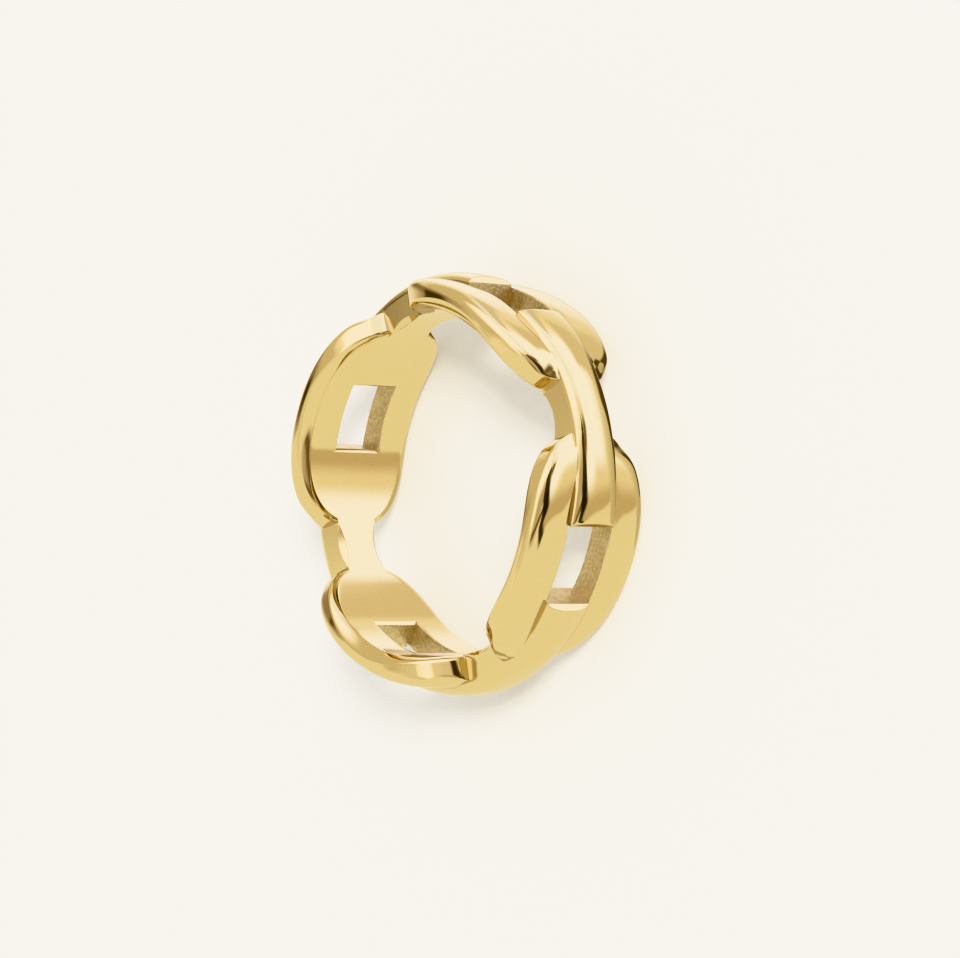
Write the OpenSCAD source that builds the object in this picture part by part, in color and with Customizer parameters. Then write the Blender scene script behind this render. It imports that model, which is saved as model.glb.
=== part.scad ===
// Chain link ring: one cast band of wide oval links joined by narrow domed bars.
// It lies on its side. Z is the finger axis, Z = 0 is the face that it rests on,
// and the first link's middle lies on +X. An arc is measured round the bore.

/* [Finger bore] */
// Diameter of the finger bore
bore_d = 17.2; // [15:0.1:22]

/* [Links] */
// Number of links round the finger
link_count = 4; // [3:1:5]
// Gap left between two neighbouring links, along the bore
neck_len = 2.4; // [1.6:0.1:4]
// Width of a link along its edge on the bore
link_w = 6.1; // [5.2:0.1:8]
// How far each side of a link flares out beyond its bore edge
flare_w = 0.5; // [0.1:0.05:0.9]
// How far a link's tip flares out beyond its bore edge
tip_flare = 0.22; // [0.05:0.01:0.5]
// Height of the widest line of a link above the bore
flare_h = 0.62; // [0.34:0.02:0.9]
// Squareness of a link's oval outline, 2 is an ellipse
outline_power = 2.65; // [2:0.05:4]

/* [Arms beside the slot] */
// Height of an arm's crest above the bore, beside the slot's middle
arm_h = 1.36; // [1.1:0.02:1.6]
// Height that the crest rises to towards the tips of the link
arm_tip_h = 1.66; // [1.1:0.02:1.9]
// Distance of the crest from the link's widest line
crest_in = 1.45; // [0.8:0.05:1.8]
// Roundness of the arm's outer side, 2 is round and more is boxier
arm_power = 3.2; // [2:0.1:4]
// How far the arm's surface falls from its crest to the slot
arm_fall = 0.05; // [0.02:0.01:0.3]

/* [Slot] */
// Width of the slot, along the finger
slot_w = 2.7; // [2:0.05:3.2]
// Length of the slot, along the bore
slot_len = 3.44; // [2.4:0.02:4.4]
// Bevel on the bore edges of the slot's two ends
slot_bevel = 0.15; // [0.05:0.01:0.3]

/* [Bars] */
// Width of the bar at the neck
neck_w = 2.32; // [1.8:0.02:3]
// Height of the bar's flat sides above the bore
shoulder_h = 1.38; // [1:0.02:1.6]
// Height of the bar's crest above the bore at the slots
bar_slot_h = 1.76; // [1.7:0.02:2.4]
// Height of the bar's crest above the bore at the neck
bar_neck_h = 1.98; // [1.8:0.02:2.6]
// Roundness of the bar's top, 2 is round and more is boxier
bar_power = 2.4; // [2:0.1:4]
// Height above the bore at which the end bevel of a bar starts
bar_bevel_from = 1.43; // [1.1:0.01:1.6]
// How much wider the waist of the bar is than its bore edge, on each side
waist_in = 0.25; // [0.05:0.05:0.45]
// Height of the waist's bevelled foot above the bore
waist_h = 0.28; // [0.1:0.02:0.5]

/* [Hidden] */

// Sections along half a pitch: beside the slot, along the arms and over the neck
slot_rows = 3;
arm_rows = 10;
neck_rows = 3;
// Columns of one half section: up the arm's side and crest, and over the bar
arm_cols = 8;
bar_cols = 5;
// The bore's facets carry this much past the true bore before it is cut
bore_reach = 0.3;
// Small steps that keep neighbouring points apart
step_in = 0.04;
tip_step = 0.1;

bore_r = bore_d / 2;
half_pitch = PI * bore_r / link_count;
tip_arc = half_pitch - neck_len / 2;
slot_arc = slot_len / 2;
slot_half_w = slot_w / 2;
neck_half_w = neck_w / 2;
rim_half_w = link_w / 2 + flare_w;
foot_half_w = link_w / 2;

// The oval is long enough for its rim to meet the bar's side at the tip of the link
rim_half_len = tip_arc / pow(1 - pow(neck_half_w / rim_half_w, outline_power), 1 / outline_power);
foot_half_len = rim_half_len - tip_flare;
// Distance from the crest's line to the slot
fall_w = rim_half_w - crest_in - slot_half_w;

function clamp(x, low, high) = min(max(x, low), high);
function degrees_of(arc) = arc / bore_r * 180 / PI;

// Half width of an oval of the given half length and half width
function oval(arc, half_len, half_w) =
    half_w * pow(max(1 - pow(arc / half_len, outline_power), 0), 1 / outline_power);

// Half width of the bar: the slot's width at the slot, narrowing to the neck
function bar_half_w(arc) =
    let (t = clamp((arc - slot_arc) / (tip_arc - slot_arc), 0, 1))
    (slot_half_w - step_in) * (1 - t) + neck_half_w * t;

// How far into the neck's waist an arc lies: 0 at the tip, 1 half way between two links
function waist(arc) = sin(90 * clamp((arc - tip_arc) / (half_pitch - tip_arc), 0, 1));

// Distance of a point of the link from its rim line
function rim_distance(arc, z) =
    let (
        a = max(arc, step_in) / rim_half_len,
        b = max(z, step_in) / rim_half_w,
        level = pow(pow(a, outline_power) + pow(b, outline_power), 1 / outline_power),
        slope_a = pow(a, outline_power - 1) / rim_half_len,
        slope_b = pow(b, outline_power - 1) / rim_half_w
    )
    max(1 - level, 0) / (pow(level, 1 - outline_power) * norm([slope_a, slope_b]));

// Height of the arm above the bore
function arm_height(arc, z) =
    let (
        crest_h = arm_h + (arm_tip_h - arm_h) * pow(arc / rim_half_len, 2),
        d = rim_distance(arc, z),
        rise = pow(1 - pow(1 - clamp(d / crest_in, 0, 1), arm_power), 1 / arm_power),
        fall = pow(clamp((d - crest_in) / fall_w, 0, 1), 2)
    )
    flare_h + (crest_h - flare_h) * rise - arm_fall * fall;

// Height of the bar's crest above the bore
function crest_height(arc) =
    let (t = sin(90 * clamp((arc - slot_arc) / (half_pitch - slot_arc), 0, 1)))
    bar_slot_h * (1 - t) + bar_neck_h * t;

// Points [z, height] of the bar's top, from its side to its crest
function bar_points(arc, base_h) =
    [for (i = [0:bar_cols])
        let (t = 90 * i / bar_cols)
        [
            bar_half_w(arc) * pow(cos(t), 2 / bar_power),
            base_h + (crest_height(arc) - base_h) * pow(sin(t), 2 / bar_power)
        ]
    ];

// The foot of a side wall, carried on into the bore along its own slope
function foot_points(edge_z, elbow_z, elbow_h) =
    [
        [edge_z - (elbow_z - edge_z) * bore_reach / elbow_h, -bore_reach],
        [elbow_z, elbow_h]
    ];

// Half section through a link: flared foot, rim, arm and bar
function link_section(arc) =
    let (
        side = bar_half_w(arc),
        edge_z = max(oval(arc, foot_half_len, foot_half_w), side),
        rim_z = oval(arc, rim_half_len, rim_half_w),
        elbow_z = edge_z + (rim_z - edge_z) * waist_h / flare_h,
        arm = [for (i = [0:arm_cols])
            let (z = side + (rim_z - side) * cos(90 * i / arm_cols))
            [z, i == 0 ? flare_h : arm_height(arc, z)]
        ],
        crease_h = arm[arm_cols][1]
    )
    concat(
        foot_points(edge_z, elbow_z, waist_h),
        arm,
        bar_points(arc, max(crease_h + step_in, shoulder_h))
    );

// Half section through the neck: waisted foot, flat side and bar
function neck_section(arc) =
    let (
        side = bar_half_w(arc),
        w = waist(arc),
        elbow_h = waist_h * (1 + 3 * w) / 4
    )
    concat(
        foot_points(side - waist_in * w, side, elbow_h),
        [for (i = [0:arm_cols])
            [side, elbow_h + (shoulder_h - elbow_h) * (i + 1) / (arm_cols + 2)]
        ],
        bar_points(arc, shoulder_h)
    );

function half_section(arc) = arc < tip_arc ? link_section(arc) : neck_section(arc);

// Whole section, from the foot at -Z over the crest to the foot at +Z
function section(arc) =
    let (half = half_section(arc), last = len(half) - 1)
    concat(
        [for (i = [0:last]) [-half[i][0], half[i][1]]],
        [for (i = [last - 1:-1:0]) half[i]]
    );

// Arcs of the sections along half a pitch, closer together towards the tip
half_arcs = concat(
    [for (i = [0:slot_rows - 1]) slot_arc * i / slot_rows],
    [for (i = [0:arm_rows]) slot_arc + (tip_arc - tip_step - slot_arc) * sin(90 * i / arm_rows)],
    [for (i = [0:neck_rows]) tip_arc + neck_len / 2 * i / neck_rows]
);
last_arc = len(half_arcs) - 1;
// Arcs along one whole pitch, from the middle of a link to just before the next one
pitch_arcs = concat(
    half_arcs,
    [for (i = [last_arc - 1:-1:1]) 2 * half_pitch - half_arcs[i]]
);

// Solid band round the bore, before the bore and the slots are cut
module band() {
    sections = [for (a = pitch_arcs) section(min(a, 2 * half_pitch - a))];
    rows = len(pitch_arcs);
    cols = len(sections[0]);
    total = rows * link_count;
    points = [for (k = [0:link_count - 1], i = [0:rows - 1], p = sections[i])
        let (
            turn = degrees_of(2 * half_pitch * k + pitch_arcs[i]),
            r = bore_r + p[1]
        )
        [r * cos(turn), r * sin(turn), p[0]]
    ];
    faces = [for (i = [0:total - 1], j = [0:cols - 1])
        let (
            a = i * cols + j,
            b = i * cols + (j + 1) % cols,
            c = (i + 1) % total * cols + (j + 1) % cols,
            d = (i + 1) % total * cols + j
        )
        each [[a, b, c], [a, c, d]]
    ];
    polyhedron(points, faces);
}

// Cutter for one slot: radial end walls, bevelled at the bore and where the bars begin
module slot_cutter() {
    end = degrees_of(slot_arc);
    reach = bar_neck_h;
    spread = degrees_of(slot_bevel + bore_reach);
    profile = [
        [bore_r - bore_reach, end + spread],
        [bore_r + slot_bevel, end],
        [bore_r + bar_bevel_from, end],
        [bore_r + bar_bevel_from + reach, end + degrees_of(reach * 0.7)]
    ];
    outline = concat(
        [for (p = profile) p[0] * [cos(p[1]), sin(p[1])]],
        [for (i = [len(profile) - 1:-1:0]) profile[i][0] * [cos(profile[i][1]), -sin(profile[i][1])]]
    );
    translate([0, 0, -slot_half_w])
        linear_extrude(height = slot_w) polygon(outline);
}

module ring() {
    color([0.9, 0.76, 0.42])
        translate([0, 0, rim_half_w])
        difference() {
            band();
            cylinder(r = bore_r, h = 4 * rim_half_w, center = true, $fn = 180);
            for (k = [0:link_count - 1])
                rotate([0, 0, k * 360 / link_count]) slot_cutter();
        }
}

ring();
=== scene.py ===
"""Looks of the chain link ring: one casting of polished, gold-coloured metal.

The ring lies on its side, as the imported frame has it. The quarters of one link are laid out in
millimetres and mirrored to a whole link with half a bar at each end. Geometry Nodes then set the
links round the finger bore and bring them to metres.
"""

import math

import bmesh
import bpy
import numpy as np
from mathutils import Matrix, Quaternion, Vector, kdtree


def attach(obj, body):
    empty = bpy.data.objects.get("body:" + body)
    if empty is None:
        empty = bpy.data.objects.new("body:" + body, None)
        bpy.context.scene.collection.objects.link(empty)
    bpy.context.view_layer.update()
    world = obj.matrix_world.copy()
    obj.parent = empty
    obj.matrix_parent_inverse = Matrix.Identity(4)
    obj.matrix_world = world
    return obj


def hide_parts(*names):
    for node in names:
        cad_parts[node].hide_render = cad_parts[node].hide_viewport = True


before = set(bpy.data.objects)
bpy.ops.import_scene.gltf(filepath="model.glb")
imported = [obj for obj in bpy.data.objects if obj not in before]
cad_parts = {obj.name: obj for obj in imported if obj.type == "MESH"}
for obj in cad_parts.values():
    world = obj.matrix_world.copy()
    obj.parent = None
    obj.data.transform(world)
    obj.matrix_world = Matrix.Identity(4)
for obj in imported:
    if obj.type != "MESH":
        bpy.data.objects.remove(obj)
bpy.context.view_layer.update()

MM = 0.001

# Sizes of the solid by the names that its source gives them, with their lengths in millimetres
LINK_COUNT = 4
BORE_R = 8.6
NECK_LEN = 2.4
LINK_W = 6.1
FLARE_W = 0.5
TIP_FLARE = 0.22
FLARE_H = 0.62
OUTLINE_POWER = 2.65
ARM_H = 1.36
ARM_TIP_H = 1.66
CREST_IN = 1.45
ARM_POWER = 3.2
ARM_FALL = 0.05
SLOT_W = 2.7
SLOT_LEN = 3.44
SLOT_BEVEL = 0.15
NECK_W = 2.32
SHOULDER_H = 1.38
BAR_SLOT_H = 1.76
BAR_NECK_H = 1.98
BAR_POWER = 2.4
WAIST_IN = 0.25
WAIST_H = 0.28

# Finer forms that the solid has plainer or leaves out, with their lengths in millimetres
# Roundness of the flare from the bore edge, at a link's middle and at its tips
FLARE_ROUND = 1.7
FLARE_TIP_ROUND = 3.0
# Share of the flare's curve that is left off at a link's middle, so that it ends on a slant
FLARE_LEFT_OFF = 0.15
# Height of the flare at a link's tips
FLARE_TIP_H = 0.3
# Half height of the upright band along the widest line, at a link's middle
RIM_BAND = 0.02
# Height at the tips at which an arm's side turns into its dome
SIDE_TIP_H = 1.32
# The side climbs to it slowly at first, as one power of the way to the tip, and then fast
SIDE_SLOW_SHARE = 0.57
SIDE_SLOW_POWER = 2.5
SIDE_FAST_POWER = 16
# How strongly the bore edge is drawn in to the bar near the tip, as a power of the way there
FOOT_POWER = 6
# Roundness of the arm and distance of its crest from the rim, at the tips
TIP_ARM_POWER = 1.25
TIP_CREST_IN = 0.9
# Height by which the crease beside a bar is filled in, how far the fill reaches from the bar, and
# the rise from the rim over which it comes in
CREASE_FILL = 0.06
CREASE_FILL_W = 0.6
CREASE_FILL_RISE = 0.2
# Height of the bar's side over the crease, at the least
CREASE_STEP = 0.04
# End bevel of a bar, a little higher and steeper than the solid's: the height that it starts at,
# its lean, and how far along the bar it fades out
BAR_BEVEL_FROM = 1.47
BAR_BEVEL_LEAN = 0.6
BAR_BEVEL_FADE = 1.2
# Rise of the foot of the bar's side from a link's tip to the neck
NECK_FOOT_RISE = 0.3
# Width and steps of an eased edge, and each edge's share of the width
EASED_EDGE = 0.1
EASED_STEPS = 3
EASE_LINK_FOOT = 0.4
EASE_NECK_FOOT = 0.35
EASE_SLOT_TOP = 0.5
EASE_SLOT_FOOT = 0.4
EASE_SLOT_BEVEL = 0.3
EASE_BAR_BEVEL_TOP = 0.45
EASE_BAR_BEVEL_FOOT = 0.3
# What is left of the link's bore edge easing near its tip, and the distances from the tip over
# which the easing then fades out, on the link and on the neck
EASE_TIP_SHARE = 0.3
EASE_LINK_FADE = 0.5
EASE_NECK_FADE = 0.3

# Stretches of the way from a link's middle to its tip over which a form changes, as shares
FLARE_SINKS = (0.05, 0.8)
FLARE_ROUNDS = (0.2, 0.8)
ARM_SHARPENS = (0.75, 0.95)
# Stretch of the way from the slot to the tip over which the crease fills in
CREASE_FILLS = (0.5, 0.8)

HALF_PITCH = math.pi * BORE_R / LINK_COUNT
TIP = HALF_PITCH - NECK_LEN / 2
SLOT_ARC = SLOT_LEN / 2
PAST_BEVEL = SLOT_ARC + SLOT_BEVEL
SLOT_HALF_W = SLOT_W / 2
NECK_HALF_W = NECK_W / 2
FOOT_HALF_W = LINK_W / 2
RIM_HALF_W = FOOT_HALF_W + FLARE_W
RIM_HALF_LEN = TIP / (1 - (NECK_HALF_W / RIM_HALF_W) ** OUTLINE_POWER) ** (1 / OUTLINE_POWER)
FOOT_HALF_LEN = RIM_HALF_LEN - TIP_FLARE
FALL_W = RIM_HALF_W - CREST_IN - SLOT_HALF_W

# Rows of the patches, along the link, and columns, across it
ROWS_SLOT = 10
ROWS_ARM = 42
ROWS_NECK = 14
COLS_DOME = 26
COLS_FLANK = 7
COLS_SIDE = 4
COLS_BAR = 20
COLS_WALL = 8
COLS_BORE = 8
# Columns of the flare and of the side above it, as shares of their heights
FLARE_STEPS = np.array([0, 0.07, 0.25, 0.45, 0.65, 0.84, 1])
FLANK_STEPS = np.linspace(0, 1, COLS_FLANK + 1)[1:]
# Arc on the rim that faces the slot's end, and how the rows crowd towards the tip, as powers
RIM_AT_SLOT = 2.2
INNER_CROWDING = 1.7
RIM_CROWDING = 1.45
# How far a radian of the columns' turn reaches beyond an arm's crest, as a share of the crest's
# distance from the rim
PAST_CREST = 0.8
# Half width of the middle strip of the bore, the first steps between its rows past the slot, and
# how many rows it takes to fall in with the bore edge's rows
MID_HALF_W = 0.5
MID_STEP = 0.02
MID_ROWS = 8
# Points that fine curves are worked out with
FINE = 2000
# Distances within which the points of the patches and of the links are joined, and length of the
# slivers taken out
PATCHES_WITHIN = 0.0008
LINKS_WITHIN = 0.001
SLIVER = 0.0005
# Angle in degrees from which an edge is shaded sharp
SHARP_FROM = 30


def lerp(a, b, t):
    """Goes from a to b as a share goes from 0 to 1."""
    return a * (1 - t) + b * t


def smooth(t):
    """Eases a share from 0 to 1."""
    t = np.clip(t, 0, 1)
    return t * t * (3 - 2 * t)


def over(t, stretch):
    """0 before a stretch, eased to 1 at its end."""
    return smooth((t - stretch[0]) / (stretch[1] - stretch[0]))


# Forms of a link, by arc from its middle and by height above the bore
def oval(arc, half_len, half_w):
    """Half width of a link's oval outline."""
    inside = np.maximum(1 - (np.abs(arc) / half_len) ** OUTLINE_POWER, 0)
    return half_w * inside ** (1 / OUTLINE_POWER)


def bar_half_w(arc):
    """Half width of the bar: the slot's at the slot, narrowing to the neck's."""
    return lerp(SLOT_HALF_W, NECK_HALF_W, np.clip((arc - SLOT_ARC) / (TIP - SLOT_ARC), 0, 1))


def rim_distance(arc, z):
    """Distance of a point of the link from its rim line."""
    off_axis = 0.04
    a = np.maximum(arc, off_axis) / RIM_HALF_LEN
    b = np.maximum(z, off_axis) / RIM_HALF_W
    level = (a**OUTLINE_POWER + b**OUTLINE_POWER) ** (1 / OUTLINE_POWER)
    slope = np.hypot(a ** (OUTLINE_POWER - 1) / RIM_HALF_LEN, b ** (OUTLINE_POWER - 1) / RIM_HALF_W)
    return np.maximum(1 - level, 0) * level ** (OUTLINE_POWER - 1) / slope


def flare_height(to_tip):
    """Height of the flare: full at a link's middle, small at its tips."""
    return lerp(FLARE_H - RIM_BAND, FLARE_TIP_H, over(to_tip, FLARE_SINKS))


def side_height(to_tip):
    """Height at which an arm's side turns into its dome; it climbs towards the tips."""
    climb = lerp(to_tip**SIDE_FAST_POWER, to_tip**SIDE_SLOW_POWER, SIDE_SLOW_SHARE)
    return lerp(FLARE_H + RIM_BAND, SIDE_TIP_H, climb)


def arm_height(arc, d, start, power, crest_in):
    """Height of an arm at a distance from its rim: a dome that falls to the slot."""
    crest = lerp(ARM_H, ARM_TIP_H, (arc / RIM_HALF_LEN) ** 2)
    rise = (1 - (1 - np.clip(d / crest_in, 0, 1)) ** power) ** (1 / power)
    fall = np.clip((d - CREST_IN) / FALL_W, 0, 1) ** 2
    return lerp(start, crest, rise) - ARM_FALL * fall


def crest_height(arc):
    """Height of the bar's crest."""
    t = np.sin(np.pi / 2 * np.clip((arc - SLOT_ARC) / (HALF_PITCH - SLOT_ARC), 0, 1))
    return lerp(BAR_SLOT_H, BAR_NECK_H, t)


def waist(arc):
    """0 at the tip of a link, 1 half way to the next link."""
    return np.sin(np.pi / 2 * np.clip((arc - TIP) / (HALF_PITCH - TIP), 0, 1))


def crease_fill(arc):
    """How far the crease beside the bar is filled in: open at the slot, gone at the tip."""
    return over((arc - SLOT_ARC) / (TIP - SLOT_ARC), CREASE_FILLS)


def foot_end():
    """Arc at which a link's bore edge runs into the side of the bar."""
    search_from = 0.8 * TIP
    arcs = np.linspace(search_from, FOOT_HALF_LEN, 4 * FINE)
    return arcs[np.argmin(np.abs(oval(arcs, FOOT_HALF_LEN, FOOT_HALF_W) - bar_half_w(arcs)))]


FOOT_END = foot_end()


# Patches of a quarter of one link
def grid(*columns):
    """A patch: a grid of (arc, z, height) points. Patches that meet share their edge points."""
    return np.stack(np.broadcast_arrays(*columns), axis=-1)


def rows_of_the_link():
    """Arcs at which the rows end, beside the slot and the bar, and start, on the rim."""
    arcs = np.linspace(0, TIP, FINE)
    steps = np.hypot(np.diff(arcs), np.diff(oval(arcs, RIM_HALF_LEN, RIM_HALF_W)))
    rim = np.concatenate([[0], np.cumsum(steps)])
    at_slot = np.interp(RIM_AT_SLOT, arcs, rim)
    near = np.linspace(0, 1, ROWS_SLOT + 1)
    left = 1 - np.linspace(0, 1, ROWS_ARM + 1)[1:]
    inner = np.concatenate([SLOT_ARC * near, TIP - (TIP - SLOT_ARC) * left**INNER_CROWDING])
    length = np.concatenate([at_slot * near, rim[-1] - (rim[-1] - at_slot) * left**RIM_CROWDING])
    return inner, np.interp(length, rim, arcs)


def dome_columns(reach, power, crest_in):
    """Distances of the dome's columns from the rim: even turns up to the crest, then even steps."""
    if reach > crest_in:
        last = np.pi / 2 + (reach - crest_in) / (PAST_CREST * crest_in)
    else:
        last = np.arccos((1 - reach / crest_in) ** (power / 2))
    turn = np.linspace(0, last, COLS_DOME + 1)
    on_rise = crest_in * (1 - np.cos(np.minimum(turn, np.pi / 2)) ** (2 / power))
    return on_rise + np.maximum(turn - np.pi / 2, 0) * PAST_CREST * crest_in


def dome_patch(inner, outer, fill):
    """The arm from its rim to the slot or to the side of the bar."""
    share = np.linspace(0, 1, FINE // 5)
    z_in, z_out = bar_half_w(inner), oval(outer, RIM_HALF_LEN, RIM_HALF_W)
    starts = side_height(outer / TIP)
    sharpened = over(outer / TIP, ARM_SHARPENS)
    powers = lerp(ARM_POWER, TIP_ARM_POWER, sharpened)
    crests_in = lerp(CREST_IN, TIP_CREST_IN, sharpened)
    # Keeps the distances rising, so that each belongs to one place
    nudge = 1e-9
    rows = []
    for i, (start, power, crest_in) in enumerate(zip(starts, powers, crests_in)):
        d = rim_distance(lerp(outer[i], inner[i], share), lerp(z_out[i], z_in[i], share))
        d[0] = 0
        d = np.maximum.accumulate(d)
        at = np.interp(dome_columns(d[-1], power, crest_in), d + share * nudge, share)
        at[0], at[-1] = 0, 1
        arc, z = lerp(outer[i], inner[i], at), lerp(z_out[i], z_in[i], at)
        height = arm_height(arc, np.interp(at, share, d), start, power, crest_in)
        from_bar = (1 - at) * np.hypot(outer[i] - inner[i], z_out[i] - z_in[i])
        risen = np.minimum((height - start) / CREASE_FILL_RISE, 1)
        height = height + fill * crease_fill(arc) * smooth(1 - from_bar / CREASE_FILL_W) * risen
        rows.append(grid(arc, z, height))
    return np.array(rows)


def flank_patch(outer, rim):
    """The flare from the bore edge, then the arm's upright side up to the rim."""
    to_tip = outer / TIP
    foot_arc = outer * lerp(FOOT_HALF_LEN / RIM_HALF_LEN, FOOT_END / TIP, to_tip**FOOT_POWER)
    foot_z = np.maximum(oval(foot_arc, FOOT_HALF_LEN, FOOT_HALF_W), bar_half_w(foot_arc))
    flare_h, side_h = flare_height(to_tip)[:, None], side_height(to_tip)[:, None]
    roundness = lerp(FLARE_ROUND, FLARE_TIP_ROUND, over(to_tip, FLARE_ROUNDS))[:, None]
    left = FLARE_LEFT_OFF * (1 - to_tip[:, None])
    end = left**roundness
    flared = 1 - ((1 - (1 - left) * FLARE_STEPS) ** roundness - end) / (1 - end)
    inward = np.concatenate([1 - flared, np.zeros((len(outer), COLS_FLANK))], axis=1)
    return grid(
        lerp(rim[:, 0:1], foot_arc[:, None], inward),
        lerp(rim[:, 1:2], foot_z[:, None], inward),
        np.concatenate([flare_h * FLARE_STEPS, lerp(flare_h, side_h, FLANK_STEPS)], axis=1),
    )


def bar_patch(bar_arcs, creases, fill):
    """The bar's top, from its side to its crest, bevelled at the slot."""
    # The top starts where its curve has risen clear of the crease beside it
    filled = fill * crease_fill(bar_arcs) * smooth((HALF_PITCH - bar_arcs) / (HALF_PITCH - TIP))
    base = np.maximum(creases + CREASE_STEP + filled, SHOULDER_H)
    risen = (base - SHOULDER_H) / (crest_height(bar_arcs) - SHOULDER_H)
    first_turn = np.arcsin(risen ** (BAR_POWER / 2))
    first_turn[0] = 0

    def top(arc):
        from_side = np.linspace(0, 1, COLS_BAR + 1)[None, :]
        turn = lerp(np.interp(arc, bar_arcs, first_turn), np.pi / 2, from_side)
        z = bar_half_w(arc) * np.abs(np.cos(turn)) ** (2 / BAR_POWER)
        return z, lerp(SHOULDER_H, crest_height(arc), np.sin(turn) ** (2 / BAR_POWER))

    # Where the bevel starts depends on the height there, so it is settled in rounds
    rounds = 6
    start = np.full((1, COLS_BAR + 1), SLOT_ARC)
    for _ in range(rounds):
        start = SLOT_ARC + BAR_BEVEL_LEAN * np.maximum(top(start)[1] - BAR_BEVEL_FROM, 0)
    shift = (start - SLOT_ARC) * (1 - smooth((bar_arcs[:, None] - SLOT_ARC) / BAR_BEVEL_FADE))
    arc = bar_arcs[:, None] + shift
    z, height = top(arc)
    z[:, -1] = 0
    return grid(arc, z, height)


def side_patch(bar_arcs, creases, bar):
    """The bar's side, from the crease beside it up to its top."""
    up = np.linspace(0, 1, COLS_SIDE + 1)[None, :]
    side = grid(
        lerp(bar_arcs[:, None], bar[:, 0:1, 0], up),
        lerp(bar_half_w(bar_arcs)[:, None], bar[:, 0:1, 1], up),
        lerp(creases[:, None], bar[:, 0:1, 2], up),
    )
    side[0, 1:] = bar[0, 0]
    return side


def neck_foot_patch(neck_arcs):
    """The foot of the bar's side at the neck, drawn in to a waist at the bore."""
    w = waist(neck_arcs)[:, None]
    elbow = lerp(FLARE_TIP_H * FLARE_STEPS[1], WAIST_H, w)
    foot_top = FLARE_TIP_H + NECK_FOOT_RISE * w
    up = (FLARE_STEPS[1:] - FLARE_STEPS[1]) / (1 - FLARE_STEPS[1])
    heights = [np.zeros_like(w), lerp(elbow, foot_top, up), lerp(foot_top, SIDE_TIP_H, FLANK_STEPS)]
    heights = np.concatenate(heights, axis=1)
    z = np.full_like(heights, NECK_HALF_W)
    z[:, 0:1] -= WAIST_IN * w
    return grid(neck_arcs[:, None], z, heights)


def slot_patches(inner, crease, bar):
    """The slot's wall beside the arm, its end wall, the bevels of the end, and their closing face."""
    up = np.linspace(0, 1, COLS_WALL)[None, :]
    top_h = crease[: ROWS_SLOT + 1, 2:3]
    wall_h = np.concatenate([np.zeros_like(top_h), lerp(SLOT_BEVEL, top_h, up)], axis=1)
    wall = grid(inner[: ROWS_SLOT + 1, None], SLOT_HALF_W, wall_h)

    bar_z, bar_h = bar[0, :, 1:2], bar[0, :, 2:3]
    end_h = np.repeat(lerp(SLOT_BEVEL, top_h[-1:], up), len(bar_z), axis=0)
    end_h = np.concatenate([end_h, np.minimum(bar_h, BAR_BEVEL_FROM)], axis=1)
    end = grid(SLOT_ARC, bar_z, end_h)
    end_bevel = np.stack([end[:, -1], bar[0]], axis=1)
    bore_bevel = np.stack([grid(PAST_BEVEL, bar_z[:, 0], 0.0), end[:, 0]], axis=1)
    bevel_side = np.array([[wall[-1, 0], bore_bevel[0, 0]], [wall[-1, 1], wall[-1, 1]]])
    return wall, end, end_bevel, bore_bevel, bevel_side


def bore_patches(inner, foot, neck_foot, bar_z):
    """The finger bore: beside the slot, beside the middle strip at the neck, and that strip."""
    foot_arc, foot_z = foot[:, 0], foot[:, 1]
    neck_arcs = neck_foot[:, 0, 0]
    # Line between the strip along the bore's edge and the slot, or the middle strip past the slot
    line_arc = foot_arc.copy()
    line_arc[: ROWS_SLOT + 1] = inner[: ROWS_SLOT + 1]
    steps = np.arange(len(inner)) - ROWS_SLOT - 1
    far = steps >= 0
    past = lerp(PAST_BEVEL + MID_STEP * steps, foot_arc, smooth(steps / MID_ROWS))
    line_arc[far] = np.maximum(past, PAST_BEVEL)[far]
    closing = smooth((line_arc - PAST_BEVEL) / (FOOT_END - PAST_BEVEL))
    line_z = np.where(far, lerp(SLOT_HALF_W, MID_HALF_W, closing), SLOT_HALF_W)

    across = np.linspace(0, 1, COLS_BORE + 1)[None, :]
    beside = grid(
        lerp(line_arc[:, None], foot_arc[:, None], across),
        lerp(line_z[:, None], foot_z[:, None], across),
        0.0,
    )
    edge_arcs = np.concatenate([[FOOT_END], neck_arcs])
    edge_z = np.concatenate([foot_z[-1:], neck_foot[:, 0, 1]])
    neck = grid(edge_arcs[:, None], lerp(MID_HALF_W, edge_z[:, None], across), 0.0)
    mid_arc = np.concatenate([line_arc[far], neck_arcs])
    mid_z = np.concatenate([line_z[far], np.full_like(neck_arcs, MID_HALF_W)])
    middle = grid(mid_arc[:, None], mid_z[:, None] * bar_z[None, :] / SLOT_HALF_W, 0.0)
    return beside, neck, middle


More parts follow.
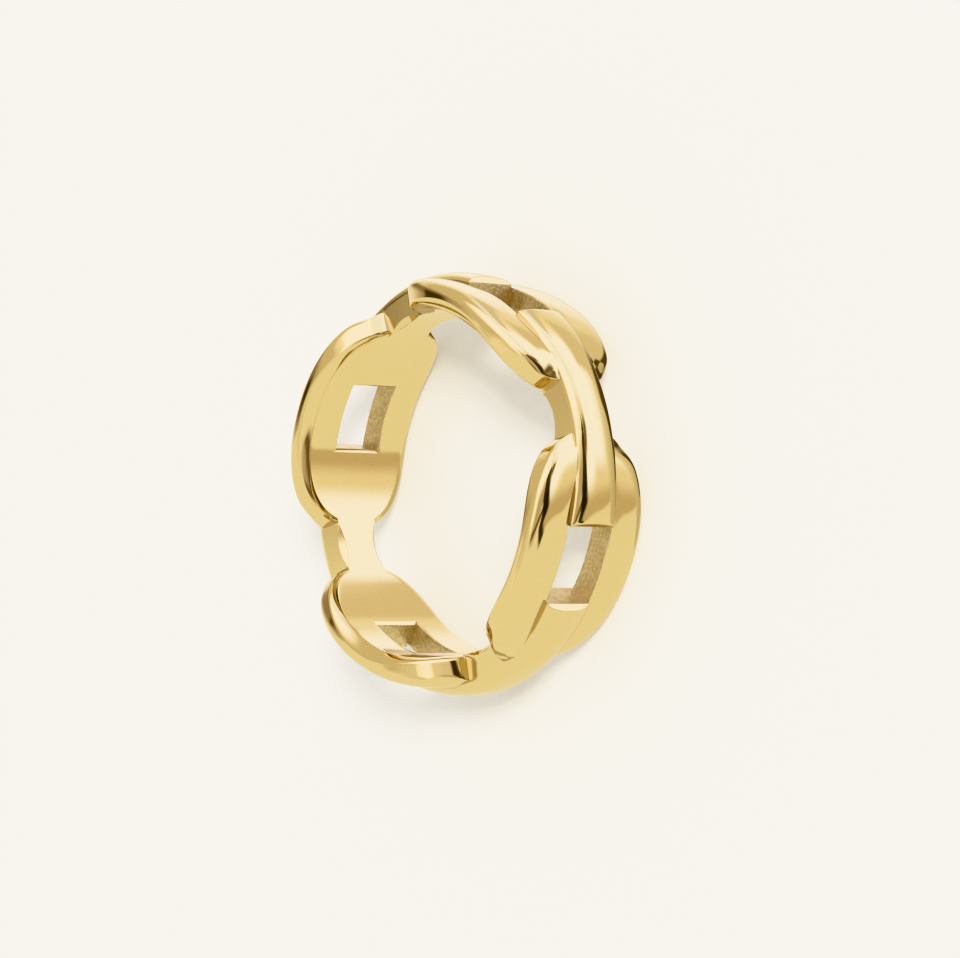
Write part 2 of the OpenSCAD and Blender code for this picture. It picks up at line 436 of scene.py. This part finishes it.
def link_quarter(fill):
    """Patches of a quarter of one link, as (grid, in_slot), and its eased edges, as (line, weights)."""
    inner, outer = rows_of_the_link()
    dome = dome_patch(inner, outer, fill)
    rim, crease = dome[:, 0], dome[:, -1]
    flank = flank_patch(outer, rim)
    flank_end = np.stack([flank[-1], grid(TIP, NECK_HALF_W, flank[-1, :, 2])])

    neck_arcs = np.linspace(TIP, HALF_PITCH, ROWS_NECK + 1)
    bar_arcs = np.concatenate([inner[ROWS_SLOT:], neck_arcs[1:]])
    creases = np.concatenate([crease[ROWS_SLOT:, 2], np.full(ROWS_NECK, SIDE_TIP_H)])
    bar = bar_patch(bar_arcs, creases, fill)
    side = side_patch(bar_arcs, creases, bar)
    neck_foot = neck_foot_patch(neck_arcs)
    wall, end, end_bevel, bore_bevel, bevel_side = slot_patches(inner, crease, bar)
    bore = bore_patches(inner, flank[:, 0], neck_foot, bar[0, :, 1])

    beside_arm, at_neck = side[: ROWS_ARM + 1], side[ROWS_ARM:]
    outside = (dome, flank, flank_end, beside_arm, neck_foot, at_neck, bar, end_bevel, bore_bevel)
    patches = [(points, False) for points in outside + bore]
    patches += [(points, True) for points in (wall, end, bevel_side)]

    fade = smooth((TIP - outer) / EASE_LINK_FADE)
    edges = (
        (flank[:, 0], EASE_LINK_FOOT * fade * lerp(1, EASE_TIP_SHARE, outer / TIP)),
        (neck_foot[:, 0], EASE_NECK_FOOT * smooth((neck_arcs - TIP) / EASE_NECK_FADE)),
        (crease[: ROWS_SLOT + 1], EASE_SLOT_TOP),
        (wall[:, 0], EASE_SLOT_FOOT),
        (end[:, -1], EASE_BAR_BEVEL_FOOT),
        (bar[0], EASE_BAR_BEVEL_TOP),
        (end[:, 0], EASE_SLOT_BEVEL),
        (bore_bevel[:, 0], EASE_SLOT_BEVEL),
    )
    return patches, [(line, np.broadcast_to(weight, len(line))) for line, weight in edges]


# The mesh of one link
def placed(points, z_sign, arc_sign):
    """Points of (arc, z, height) wrapped round the bore, in millimetres."""
    turn = arc_sign * points[..., 0] / BORE_R
    r = BORE_R + points[..., 2]
    return np.stack([r * np.cos(turn), r * np.sin(turn), z_sign * points[..., 1]], axis=-1)


def add_patch(bm, at, in_slot, slot_wall):
    """Adds a grid of points to the mesh, and notes on its faces whether they line a slot."""
    rows, cols = at.shape[:2]
    verts = [bm.verts.new(p) for p in at.reshape(-1, 3)]
    for i in range(rows - 1):
        for j in range(cols - 1):
            a = i * cols + j
            face = bm.faces.new([verts[a], verts[a + 1], verts[a + cols + 1], verts[a + cols]])
            face[in_slot] = slot_wall


def found_edges(bm, tree, at):
    """Edges of the mesh that join the points of a line, each with its place in the line."""
    found = [bm.verts[tree.find(p)[1]] for p in at]
    for k in range(len(found) - 1):
        edge = bm.edges.get((found[k], found[k + 1])) if found[k] != found[k + 1] else None
        if edge is not None:
            yield k, edge


def make_link():
    """One whole link with half a bar at each end, as a mesh in millimetres."""
    # The creases beside the bar are filled in at one end of the link and open at the other
    quarters = {1: link_quarter(0), -1: link_quarter(CREASE_FILL)}
    mirrored = [(z_sign, arc_sign) for z_sign in (1, -1) for arc_sign in (1, -1)]
    bm = bmesh.new()
    in_slot = bm.faces.layers.bool.new("in_slot")
    for z_sign, arc_sign in mirrored:
        for points, slot_wall in quarters[arc_sign][0]:
            add_patch(bm, placed(points, z_sign, arc_sign), in_slot, slot_wall)
    bmesh.ops.remove_doubles(bm, verts=bm.verts, dist=PATCHES_WITHIN)
    bmesh.ops.dissolve_degenerate(bm, dist=SLIVER, edges=bm.edges)
    bmesh.ops.recalc_face_normals(bm, faces=bm.faces)
    bm.verts.ensure_lookup_table()

    weight = bm.edges.layers.float.new("bevel_weight_edge")
    tree = kdtree.KDTree(len(bm.verts))
    for v in bm.verts:
        tree.insert(v.co, v.index)
    tree.balance()
    for z_sign, arc_sign in mirrored:
        for line, weights in quarters[arc_sign][1]:
            for k, edge in found_edges(bm, tree, placed(line, z_sign, arc_sign)):
                edge[weight] = (weights[k] + weights[k + 1]) / 2
    mesh = bpy.data.meshes.new("link")
    bm.to_mesh(mesh)
    bm.free()
    link = bpy.data.objects.new("link", mesh)
    bpy.context.scene.collection.objects.link(link)
    bevel = link.modifiers.new("eased edges", "BEVEL")
    bevel.limit_method = "WEIGHT"
    bevel.width = EASED_EDGE
    bevel.segments = EASED_STEPS
    bevel.use_clamp_overlap = False
    return link


# Short ways to add nodes to a tree
def tree_socket(tree, name, kind, default=None, way="INPUT"):
    """Gives a tree a named input or output."""
    socket = tree.interface.new_socket(name=name, in_out=way, socket_type=kind)
    if default is not None:
        socket.default_value = default


def tree_ends(tree):
    """Adds the nodes that a tree's inputs come out of and its outputs go into."""
    return tree.nodes.new("NodeGroupInput").outputs, tree.nodes.new("NodeGroupOutput").inputs


def feed(tree, socket, given):
    """Gives a socket a plain value, or wires an output to it."""
    if isinstance(given, bpy.types.NodeSocket):
        tree.links.new(given, socket)
    else:
        socket.default_value = given


def added(tree, kind, *inputs, settings=None, **named):
    """Adds a node with its settings, and feeds its first inputs in order and others by name."""
    node = tree.nodes.new(kind)
    for name, value in (settings or {}).items():
        setattr(node, name, value)
    for socket, given in zip(node.inputs, inputs):
        feed(tree, socket, given)
    for name, given in named.items():
        feed(tree, node.inputs[name], given)
    return node


def maths(tree, operation, *inputs):
    """Adds a Math node and gives back its output."""
    return added(tree, "ShaderNodeMath", *inputs, settings={"operation": operation}).outputs[0]


def ranged(tree, value, low, high, to=(0, 1), kind="SMOOTHSTEP"):
    """Adds a Map Range node and gives back its output."""
    settings = {"interpolation_type": kind}
    return added(tree, "ShaderNodeMapRange", value, low, high, *to, settings=settings).outputs[0]


def mixed(tree, share, first, second, blend="MIX"):
    """Adds a Mix node for two colours, each three numbers or an output, and gives back its output."""
    settings = {"data_type": "RGBA", "blend_type": blend}
    node = added(tree, "ShaderNodeMix", Factor=share, settings=settings)
    # The colours of a Mix node are its inputs 6 and 7 and its output 2
    for k, colour in ((6, first), (7, second)):
        feed(tree, node.inputs[k], (*colour, 1) if isinstance(colour, tuple) else colour)
    return node.outputs[2]


# The links round the finger
def links_tree():
    """Geometry Nodes: copies of one link, turned round the bore, joined and given their metal."""
    tree = bpy.data.node_groups.new("links round the finger", "GeometryNodeTree")
    tree_socket(tree, "Link", "NodeSocketGeometry")
    tree_socket(tree, "Link Count", "NodeSocketInt", LINK_COUNT)
    tree_socket(tree, "Scale", "NodeSocketFloat", 1.0)
    tree_socket(tree, "Lift", "NodeSocketVector")
    tree_socket(tree, "Weld Distance", "NodeSocketFloat", 0.0)
    tree_socket(tree, "Polished", "NodeSocketMaterial")
    tree_socket(tree, "Cast With Painted Shade", "NodeSocketMaterial")
    tree_socket(tree, "Ring", "NodeSocketGeometry", way="OUTPUT")
    given, result = tree_ends(tree)

    spots = added(tree, "GeometryNodePoints", given["Link Count"])
    index = added(tree, "GeometryNodeInputIndex")
    pitch = maths(tree, "DIVIDE", math.tau, given["Link Count"])
    turn = added(tree, "ShaderNodeCombineXYZ", Z=maths(tree, "MULTIPLY", index.outputs[0], pitch))
    copies = added(
        tree, "GeometryNodeInstanceOnPoints",
        Points=spots.outputs[0], Instance=given["Link"], Rotation=turn.outputs[0],
    )
    real = added(tree, "GeometryNodeRealizeInstances", copies.outputs[0])
    sized = added(
        tree, "GeometryNodeTransform",
        Geometry=real.outputs[0], Translation=given["Lift"], Scale=given["Scale"],
    )
    weld = added(
        tree, "GeometryNodeMergeByDistance",
        Geometry=sized.outputs[0], Distance=given["Weld Distance"],
    )

    polished = added(
        tree, "GeometryNodeSetMaterial", Geometry=weld.outputs[0], Material=given["Polished"],
    )
    slot_faces = added(
        tree, "GeometryNodeInputNamedAttribute", Name="in_slot", settings={"data_type": "BOOLEAN"},
    )
    # The walls of the slots get the cast metal, whose darker colour is painted shade
    cast_with_painted_shade = added(
        tree, "GeometryNodeSetMaterial", Geometry=polished.outputs[0],
        Selection=slot_faces.outputs["Attribute"], Material=given["Cast With Painted Shade"],
    )
    feed(tree, result[0], cast_with_painted_shade.outputs[0])
    return tree


def set_input(modifier, name, value):
    """Sets a modifier's input by its socket's identifier."""
    sockets = modifier.node_group.interface.items_tree
    identifiers = {s.name: s.identifier for s in sockets if s.in_out == "INPUT"}
    modifier[identifiers[name]] = value


def plain_mesh(obj, name):
    """Turns an object's evaluated shape into a mesh of its own and drops its modifiers."""
    graph = bpy.context.evaluated_depsgraph_get()
    mesh = bpy.data.meshes.new_from_object(obj.evaluated_get(graph), depsgraph=graph)
    mesh.name = name
    obj.modifiers.clear()
    obj.data = mesh
    obj.name = name


def make_ring(polished, cast_with_painted_shade):
    """The whole ring, in metres, with polished metal all over but for the walls of the slots, which get
    the cast metal darkened as painted shade.
    """
    ring = make_link()
    round_finger = ring.modifiers.new("links round the finger", "NODES")
    round_finger.node_group = links_tree()
    for name, value in (
        ("Link Count", LINK_COUNT),
        ("Scale", MM),
        ("Lift", (0, 0, RIM_HALF_W * MM)),
        ("Weld Distance", LINKS_WITHIN * MM),
        ("Polished", polished),
        ("Cast With Painted Shade", cast_with_painted_shade),
    ):
        set_input(round_finger, name, value)
    plain_mesh(ring, "gold_ring")
    ring.data.polygons.foreach_set("use_smooth", [True] * len(ring.data.polygons))
    ring.data.set_sharp_from_angle(angle=math.radians(SHARP_FROM))
    return ring


# Metals and floor
# Half width of the floor, in metres
FLOOR_HALF_W = 3
# Stretch of the grain that runs from the first colour to the second, and stretch of the broad
# waves that runs from the smoothest to the roughest
GRAIN_TONES = (0.3, 0.7)
WAVE_WEAR = (0.3, 0.75)
# How much a hairline adds to the wear
HAIRLINE_WEAR = 0.4
# Half width of a hairline, in values of its noise, and how much it wanders
HAIRLINE_W = 0.006
HAIRLINE_WANDER = 1.2
# Finer layers in the grain
GRAIN_OCTAVES = 1.5


def detail_group():
    """Shader group: broad waves, fine grain and hairlines, from where a point lies on the piece."""
    group = bpy.data.node_groups.new("surface detail", "ShaderNodeTree")
    tree_socket(group, "Coordinates", "NodeSocketVector")
    for name in ("Broad Scale", "Grain Scale", "Hairline Scale"):
        tree_socket(group, name, "NodeSocketFloat", 100.0)
    for name in ("Broad", "Grain", "Hairlines"):
        tree_socket(group, name, "NodeSocketFloat", way="OUTPUT")
    given, result = tree_ends(group)

    def noise(name, octaves=0.0, distortion=0.0):
        return added(
            group, "ShaderNodeTexNoise", Vector=given["Coordinates"], Scale=given[name + " Scale"],
            Detail=octaves, Distortion=distortion,
        ).outputs[0]

    feed(group, result["Broad"], noise("Broad"))
    feed(group, result["Grain"], noise("Grain", octaves=GRAIN_OCTAVES))
    off_line = maths(group, "SUBTRACT", noise("Hairline", distortion=HAIRLINE_WANDER), 0.5)
    line = ranged(group, maths(group, "ABSOLUTE", off_line), HAIRLINE_W, 0.0)
    feed(group, result["Hairlines"], line)
    return group


def detailed(name, detail, scales, colours, roughness, heights=None, metallic=0):
    """A material whose colour, roughness and relief follow the surface detail.

    Scales are of the broad waves, the grain and the hairlines, per metre. Heights are theirs in mm.
    """
    material = bpy.data.materials.new(name)
    material.use_nodes = True
    tree = material.node_tree
    surface = tree.nodes["Principled BSDF"].inputs
    surface["Metallic"].default_value = metallic
    marks = tree.nodes.new("ShaderNodeGroup")
    marks.node_tree = detail
    place = tree.nodes.new("ShaderNodeTexCoord")
    for socket, given in zip(marks.inputs, (place.outputs["Object"], *scales)):
        feed(tree, socket, given)
    broad, grain, hairlines = marks.outputs

    toned = ranged(tree, grain, *GRAIN_TONES, kind="LINEAR")
    feed(tree, surface["Base Color"], mixed(tree, toned, *colours))
    worn = maths(tree, "MULTIPLY_ADD", hairlines, HAIRLINE_WEAR, broad)
    feed(tree, surface["Roughness"], ranged(tree, worn, *WAVE_WEAR, roughness, "LINEAR"))
    if heights:
        relief = 0.0
        for mark, height in zip(marks.outputs, heights):
            relief = maths(tree, "MULTIPLY_ADD", mark, height, relief)
        bump = added(tree, "ShaderNodeBump", Distance=MM, Height=relief)
        feed(tree, surface["Normal"], bump.outputs[0])
    return material


def polished_gold(detail):
    """Bright metal with the faint waves that buffing leaves."""
    return detailed(
        "polished gold", detail,
        scales=(260, 5000, 320),
        colours=((0.945, 0.80, 0.465), (0.955, 0.82, 0.495)),
        roughness=(0.05, 0.10),
        heights=(0.022, 0.0003, -0.0002),
        metallic=1,
    )


def cast_gold_with_painted_shade(detail):
    """The same metal where no wheel reaches: dull, grainy, darker in its pits, and darker all over as
    painted shade in the slots.
    """
    return detailed(
        "cast gold with painted shade", detail,
        scales=(1500, 6500, 900),
        # Both colours are darker than the polished gold's: painted shade in the slots, with the grain's
        # tone between them
        colours=((0.72, 0.58, 0.34), (0.92, 0.79, 0.52)),
        roughness=(0.34, 0.50),
        heights=(0.02, 0.022, -0.004),
        metallic=1,
    )


def pale_paper(detail):
    """Matt paper with hardly any tone in it."""
    return detailed(
        "pale paper", detail,
        scales=(30, 1800, 200),
        colours=((0.812, 0.792, 0.747), (0.828, 0.808, 0.763)),
        roughness=(0.76, 0.86),
    )


def make_floor(paper):
    """A flat sheet of paper under the ring, left out of what the gold reflects."""
    signs = ((-1, -1), (1, -1), (1, 1), (-1, 1))
    corners = [(x * FLOOR_HALF_W, y * FLOOR_HALF_W, 0) for x, y in signs]
    mesh = bpy.data.meshes.new("floor")
    mesh.from_pydata(corners, [], [(0, 1, 2, 3)])
    mesh.materials.append(paper)
    floor = bpy.data.objects.new("floor", mesh)
    bpy.context.scene.collection.objects.link(floor)
    floor.visible_glossy = False
    return floor


# Camera
# Place, lens and sensor are in millimetres, the clipping distances in metres
CAMERA_PLACE = (122.4142, 49.9361, 112.4041)
CAMERA_TURN = (0.886036, -0.074768, 0.417571, 0.187040)
LENS, SENSOR_W = 129.58, 36
SHIFT_X, SHIFT_Y = -0.00075, -0.00048
CLIP_START, CLIP_END = 0.01, 10


def make_camera():
    """Camera at the photo's angle to the ring."""
    data = bpy.data.cameras.new("camera")
    data.lens, data.sensor_width = LENS, SENSOR_W
    data.shift_x, data.shift_y = SHIFT_X, SHIFT_Y
    data.clip_start, data.clip_end = CLIP_START, CLIP_END
    camera = bpy.data.objects.new("camera", data)
    camera.rotation_mode = "QUATERNION"
    camera.location = Vector(CAMERA_PLACE) * MM
    camera.rotation_quaternion = Quaternion(CAMERA_TURN)
    bpy.context.scene.collection.objects.link(camera)
    bpy.context.scene.camera = camera


# Studio
# Even light of the room, which falls on the floor and which the camera sees beyond it
ROOM_LIGHT = (1.10, 1.095, 1.085)
# The bare room that the polish reflects. Each band takes over between two elevations, in degrees.
ROOM_BELOW = (0.57, 0.49, 0.30)
ROOM_BANDS = (
    (-85, -25, (1.03, 0.92, 0.70)),
    (52, 72, (0.79, 0.70, 0.50)),
)
ROOM_ZENITH = (84, 89, (1.60, 1.47, 1.25))
# What is left of the room where the gold sees it by way of another part of the ring
SEEN_TWICE = (0.62, 0.60, 0.64)
# White cards and dark flags in the room. Each row is one card: azimuth and elevation of its
# centre, half width and half height, tilt and softness of its edge, all in degrees, then the
# colour of its light. A later card covers an earlier one.
CARDS = (
    ("open side of the room", 15, 36, 28, 22, 7, 12, (0.55, 0.44, 0.30)),
    ("large white card", 101, 51, 40, 33, -14, 10, (2.04, 1.98, 2.07)),
    ("lower part of the large card", 101, 2, 35, 18, -8, 3.5, (1.10, 1.12, 1.22)),
    ("shade beside the large card", 168, 32, 56, 19, 46, 7, (0.68, 0.57, 0.38)),
    ("core of the shade", 190, 15, 10, 26, -16, 7, (0.30, 0.22, 0.14)),
    ("dark core of the shade", 196, 29, 3.5, 8, 0, 2.5, (0.05, 0.035, 0.02)),
    ("low white card", 64, -24, 44, 21, 3, 7, (1.60, 1.62, 1.85)),
    ("white card overhead", 45, 80, 65, 9, 0, 5, (1.90, 1.78, 1.62)),
    ("second low card", 162, -34, 18, 11, 20, 14, (1.62, 1.61, 1.75)),
    ("shade between the low cards", 110, -47, 18, 14, 7, 5, (0.77, 0.65, 0.45)),
    ("diagonal shade", 123, -20, 23, 6, -35, 3, (0.74, 0.67, 0.53)),
    ("backdrop far behind", 202, -42, 10, 12, 0, 5, (0.85, 0.75, 0.55)),
    ("dark edge of the floor", 138, -77, 56, 17, -2, 4, (0.10, 0.07, 0.045)),
    ("soft shade below the low card", 22, -42, 10, 12, 0, 8, (0.90, 0.78, 0.55)),
    ("shade above the table", 5, -36, 10, 26, 6, 6, (0.62, 0.49, 0.31)),
    ("dark by the camera", 3, 22, 28, 4, -66, 3, (0.16, 0.11, 0.07)),
    ("long dark flag", 20, 0, 22, 8.5, 46, 3, (0.02, 0.015, 0.01)),
    ("upper end of the flag", 36, 15, 18, 9, 30, 3, (0.05, 0.035, 0.025)),
    ("right end of the flag", 46, 4, 10, 8, -10, 6, (0.20, 0.15, 0.10)),
    ("white table", 284, -6, 70, 71, 12, 1.0, (0.89, 0.81, 0.58)),
    ("dark edge of the table", 359, -11, 4.5, 13, -27, 2.5, (0.05, 0.035, 0.02)),
)
CARD_SOCKETS = ("Card Azimuth", "Card Elevation", "Half Width", "Half Height", "Tilt", "Edge")
# Window light: direction in degrees, strength, and breadth in degrees
SUN_AZIMUTH, SUN_ELEVATION = 43, 38
SUN_ENERGY = 3.5
SUN_BREADTH = 15


def card_group():
    """Shader group: how much a card covers a direction, given in degrees round and up."""
    group = bpy.data.node_groups.new("studio card", "ShaderNodeTree")
    for name in ("Azimuth", "Elevation", *CARD_SOCKETS):
        tree_socket(group, name, "NodeSocketFloat", 0.0)
    tree_socket(group, "Cover", "NodeSocketFloat", way="OUTPUT")
    given, result = tree_ends(group)

    def sums(operation, *inputs):
        return maths(group, operation, *inputs)

    across = sums("WRAP", sums("SUBTRACT", given["Azimuth"], given["Card Azimuth"]), 180, -180)
    up = sums("SUBTRACT", given["Elevation"], given["Card Elevation"])
    tilt = sums("RADIANS", given["Tilt"])
    cos, sin = sums("COSINE", tilt), sums("SINE", tilt)
    along = sums("ADD", sums("MULTIPLY", across, cos), sums("MULTIPLY", up, sin))
    upright = sums("SUBTRACT", sums("MULTIPLY", up, cos), sums("MULTIPLY", across, sin))
    covers = []
    for place, half in ((along, given["Half Width"]), (upright, given["Half Height"])):
        out, inside = sums("ADD", half, given["Edge"]), sums("SUBTRACT", half, given["Edge"])
        covers.append(ranged(group, sums("ABSOLUTE", place), out, inside))
    feed(group, result[0], sums("MULTIPLY", *covers))
    return group


def make_studio():
    """World light: plain white for the floor, and the room of cards in what the gold reflects."""
    world = bpy.data.worlds.new("studio")
    world.use_nodes = True
    tree = world.node_tree
    direction = tree.nodes.new("ShaderNodeTexCoord")
    x, y, z = added(tree, "ShaderNodeSeparateXYZ", direction.outputs["Generated"]).outputs
    azimuth = maths(tree, "DEGREES", maths(tree, "ARCTAN2", y, x))
    elevation = maths(tree, "DEGREES", maths(tree, "ARCSINE", z))

    seen = ROOM_BELOW
    for low, high, colour in ROOM_BANDS:
        seen = mixed(tree, ranged(tree, elevation, low, high), seen, colour)
    group = card_group()
    for name, *numbers, colour in CARDS:
        card = tree.nodes.new("ShaderNodeGroup")
        card.node_tree = group
        card.label = name
        for socket, given in zip(card.inputs, (azimuth, elevation, *numbers)):
            feed(tree, socket, given)
        seen = mixed(tree, card.outputs[0], seen, colour)
    low, high, colour = ROOM_ZENITH
    seen = mixed(tree, ranged(tree, elevation, low, high), seen, colour)

    # Depths are whole numbers, so each test lies half way between two of them
    ray = tree.nodes.new("ShaderNodeLightPath").outputs
    by_ring = maths(tree, "GREATER_THAN", ray["Glossy Depth"], 1.5)
    seen = mixed(tree, by_ring, seen, SEEN_TWICE, "MULTIPLY")
    not_by_floor = maths(tree, "LESS_THAN", ray["Diffuse Depth"], 0.5)
    reflected = maths(tree, "MULTIPLY", ray["Is Glossy Ray"], not_by_floor)
    background = tree.nodes["Background"]
    feed(tree, background.inputs["Color"], mixed(tree, reflected, ROOM_LIGHT, seen))
    bpy.context.scene.world = world


def make_window():
    """Soft light from one side, left out of what the gold reflects."""
    data = bpy.data.lights.new("window", "SUN")
    data.energy = SUN_ENERGY
    data.angle = math.radians(SUN_BREADTH)
    window = bpy.data.objects.new("window", data)
    window.visible_glossy = False
    azimuth, elevation = math.radians(SUN_AZIMUTH), math.radians(SUN_ELEVATION)
    towards = Vector((math.cos(azimuth), math.sin(azimuth), math.tan(elevation)))
    window.rotation_euler = towards.to_track_quat("Z", "Y").to_euler()
    bpy.context.scene.collection.objects.link(window)


detail = detail_group()
ring = make_ring(polished_gold(detail), cast_gold_with_painted_shade(detail))
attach(ring, "root")
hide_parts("ring")

floor = make_floor(pale_paper(detail))

make_camera()
make_studio()
make_window()
bpy.context.scene.view_settings.view_transform = "Khronos PBR Neutral"
